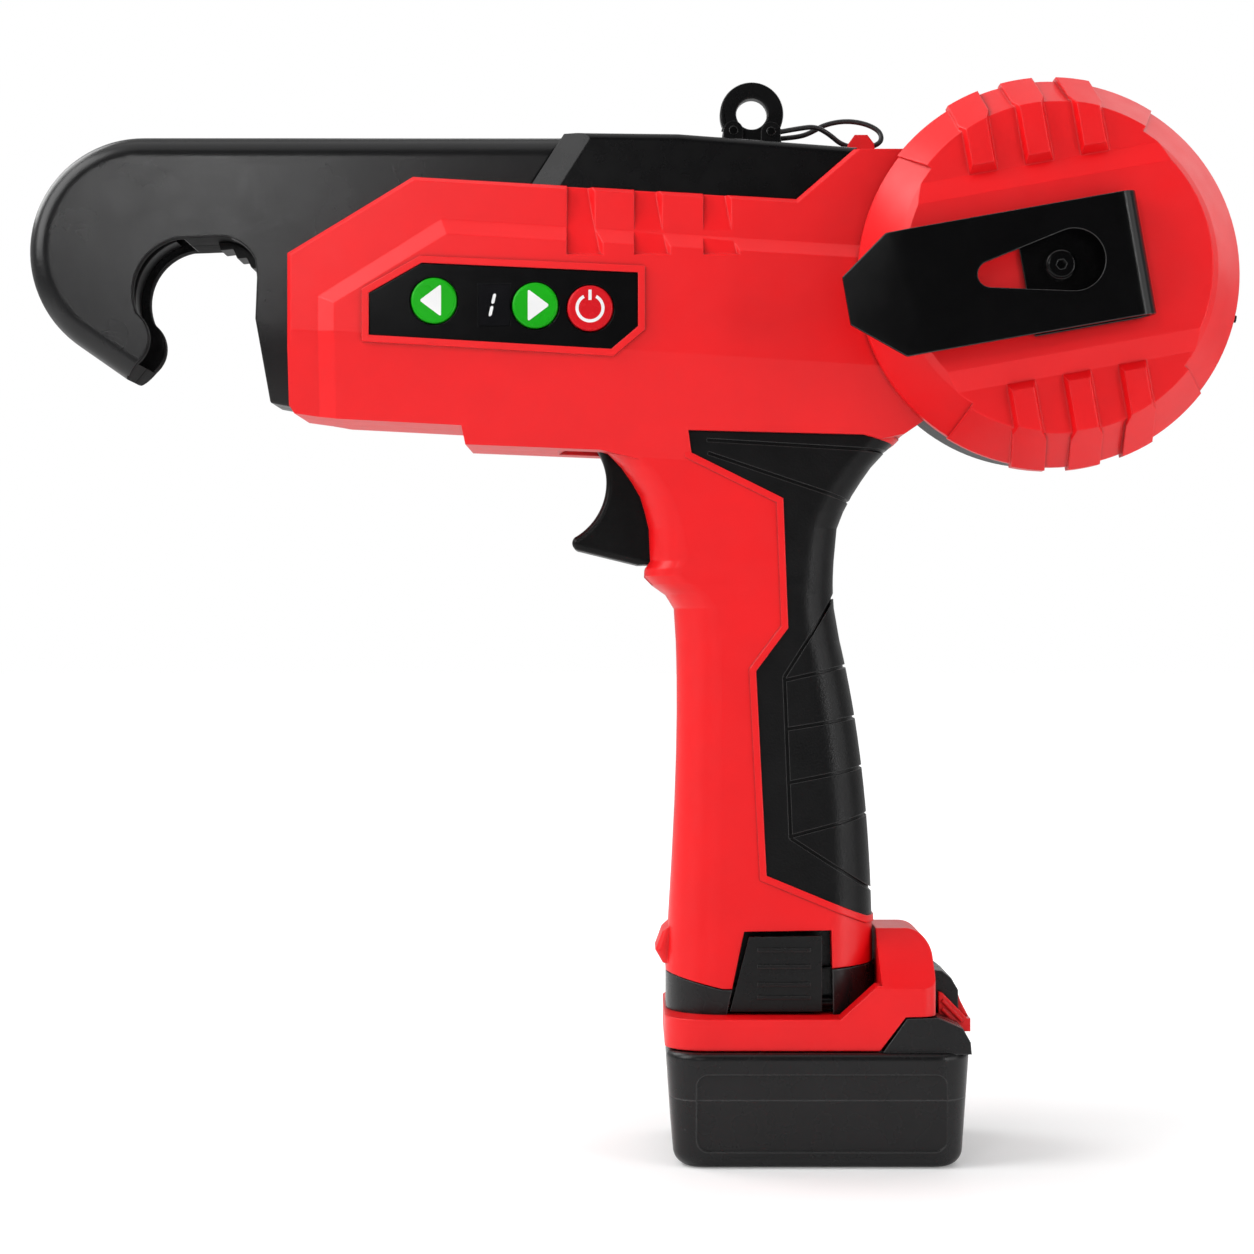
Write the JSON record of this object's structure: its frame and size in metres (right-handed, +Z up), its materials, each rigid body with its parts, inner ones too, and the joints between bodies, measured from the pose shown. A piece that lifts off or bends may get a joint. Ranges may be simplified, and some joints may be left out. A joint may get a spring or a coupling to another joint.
{
  "type": "electric vine tying tool",
  "caption": "Pistol-grip battery tool with a C-shaped hook at the nose and a round wire reel at the rear, which wraps and twists wire to tie shoots.",
  "frame": {"origin": "middle of the flat underside of the battery", "axes": "+X from the hook towards the wire reel, +Y towards the right side, away from the control panel, +Z up"},
  "size_m": [0.3588, 0.0959, 0.319],
  "materials": {
    "red_shell": "satin moulded plastic, bright red",
    "black_shell": "satin moulded plastic, black",
    "cover_black": "smooth moulded plastic, deep black",
    "grip_rubber": "soft matt rubber, black",
    "panel_black": "smooth black panel",
    "display_glass": "dark display lens",
    "green_button": "smooth green push button",
    "red_button": "smooth red push button",
    "black_steel": "black coated sheet steel",
    "steel": "machined steel",
    "board": "green circuit board",
    "contact_brass": "brass contacts",
    "cell": "wrapped round cells",
    "gear_plastic": "pale moulded plastic",
    "coated_wire": "plastic-coated tying wire",
    "tether_cable": "black coated cable"
  },
  "bodies": {
    "frame": {"left_housing": "red_shell", "right_housing": "red_shell", "housing_screws": "black_steel", "grip_sleeve": "grip_rubber", "hook_shell_left": "black_shell", "hook_shell_right": "black_shell", "wire_guide": "black_shell", "wire_nozzle": "black_shell", "cutter_blade": "steel", "top_cover": "cover_black", "hanger_eye": "cover_black", "hanger_pins": "black_steel", "tether": "tether_cable", "drum_bowl": "black_shell", "spool_spindle": "steel", "control_panel": "panel_black", "display_window": "display_glass", "control_board": "board", "trigger_pin": "steel", "trigger_spring": "steel", "trigger_switch": "black_shell", "twist_motor": "steel", "twist_gearbox": "steel", "chassis": "black_shell", "twister_bush": "contact_brass", "feed_motor": "steel", "feed_plate": "steel", "pinch_pin": "steel", "pinch_spring": "steel", "wire_inlet_tube": "steel", "wire_conduit": "steel", "main_board": "board"},
    "trigger": {"trigger": "black_shell"},
    "minus_button": {"minus_button": "green_button"},
    "plus_button": {"plus_button": "green_button"},
    "power_button": {"power_button": "red_button"},
    "lid_hub": {"lid_bush": "contact_brass"},
    "lid": {"spool_lid": "red_shell", "lid_seal": "grip_rubber", "belt_clip": "black_steel", "clip_screw": "black_steel"},
    "spool": {"spool": "gear_plastic", "wire_coil": "coated_wire"},
    "twister": {"twister": "steel"},
    "feed_roller": {"feed_roller": "steel", "feed_gear": "gear_plastic"},
    "feed_pinion": {"feed_pinion": "contact_brass"},
    "pinch_arm": {"pinch_arm": "steel"},
    "pinch_roller": {"pinch_roller": "steel"},
    "base": {"base_collar": "black_shell", "battery_dock": "red_shell", "dock_terminals": "contact_brass"},
    "release_tab_left": {"release_tab_left": "black_shell"},
    "release_tab_right": {"release_tab_right": "black_shell"},
    "battery": {"battery_lower_case": "black_shell", "battery_upper_case": "black_shell", "battery_cells": "cell", "battery_terminals": "contact_brass", "latch_spring": "steel"},
    "battery_latch": {"battery_latch": "red_shell"}
  },
  "joints": [
    {"name": "trigger_pull", "type": "hinge", "parent": "frame", "child": "trigger", "pos_m": [-0.05, 0, 0.216], "axis": [0, -1, 0], "range_deg": [0, 12], "stiffness_Nm_per_rad": 1.2, "springref_deg": -8.59, "deforming": ["trigger_spring"]},
    {"name": "minus_button_press", "type": "slide", "parent": "frame", "child": "minus_button", "axis": [0, 1, 0], "range_m": [0, 0.0008], "stiffness_N_per_m": 1500, "springref_m": -0.0006},
    {"name": "plus_button_press", "type": "slide", "parent": "frame", "child": "plus_button", "axis": [0, 1, 0], "range_m": [0, 0.0008], "stiffness_N_per_m": 1500, "springref_m": -0.0006},
    {"name": "power_button_press", "type": "slide", "parent": "frame", "child": "power_button", "axis": [0, 1, 0], "range_m": [0, 0.0008], "stiffness_N_per_m": 1500, "springref_m": -0.0006},
    {"name": "lid_lift", "type": "slide", "parent": "frame", "child": "lid_hub", "axis": [0, -1, 0], "range_m": [0, 0.06]},
    {"name": "lid_turn", "type": "hinge", "parent": "lid_hub", "child": "lid", "pos_m": [0.0667, 0, 0.2576], "axis": [0, -1, 0], "range_deg": [0, 25]},
    {"name": "spool_spin", "type": "hinge", "parent": "frame", "child": "spool", "pos_m": [0.0667, 0, 0.2576], "axis": [0, -1, 0], "continuous": true},
    {"name": "twister_spin", "type": "hinge", "parent": "frame", "child": "twister", "pos_m": [-0.15, 0, 0.243], "axis": [1, 0, 0], "continuous": true},
    {"name": "feed_spin", "type": "hinge", "parent": "frame", "child": "feed_roller", "pos_m": [-0.016, 0, 0.276], "axis": [0, -1, 0], "continuous": true},
    {"name": "feed_pinion_spin", "type": "hinge", "parent": "frame", "child": "feed_pinion", "pos_m": [-0.016, 0, 0.2632], "axis": [0, -1, 0], "continuous": true},
    {"name": "pinch_lift", "type": "hinge", "parent": "frame", "child": "pinch_arm", "pos_m": [-0.033, 0, 0.291], "axis": [0, -1, 0], "range_deg": [0, 3], "stiffness_Nm_per_rad": 0.5, "springref_deg": -5.73, "deforming": ["pinch_spring"]},
    {"name": "pinch_roller_spin", "type": "hinge", "parent": "pinch_arm", "child": "pinch_roller", "pos_m": [-0.016, 0, 0.2892], "axis": [0, -1, 0], "continuous": true},
    {"name": "base_pull", "type": "slide", "parent": "frame", "child": "base", "axis": [0, 0, -1], "range_m": [0, 0.055]},
    {"name": "tab_left_press", "type": "hinge", "parent": "base", "child": "release_tab_left", "pos_m": [-0.01, -0.0184, 0.046], "axis": [-1, 0, 0], "range_deg": [0, 6], "stiffness_Nm_per_rad": 0.3, "springref_deg": -11.46},
    {"name": "tab_right_press", "type": "hinge", "parent": "base", "child": "release_tab_right", "pos_m": [-0.01, 0.0184, 0.046], "axis": [1, 0, 0], "range_deg": [0, 6], "stiffness_Nm_per_rad": 0.3, "springref_deg": -11.46},
    {"name": "battery_slide", "type": "slide", "parent": "base", "child": "battery", "axis": [1, 0, 0], "range_m": [0, 0.09]},
    {"name": "latch_press", "type": "slide", "parent": "battery", "child": "battery_latch", "axis": [-1, 0, 0], "range_m": [0, 0.0018], "stiffness_N_per_m": 1500, "springref_m": -0.001, "deforming": ["latch_spring"]}
  ],
  "couplings": [
    {"joint": "feed_pinion_spin", "follows": "feed_spin", "ratio": -1.6667},
    {"joint": "pinch_roller_spin", "follows": "feed_spin", "ratio": -1.8182}
  ]
}
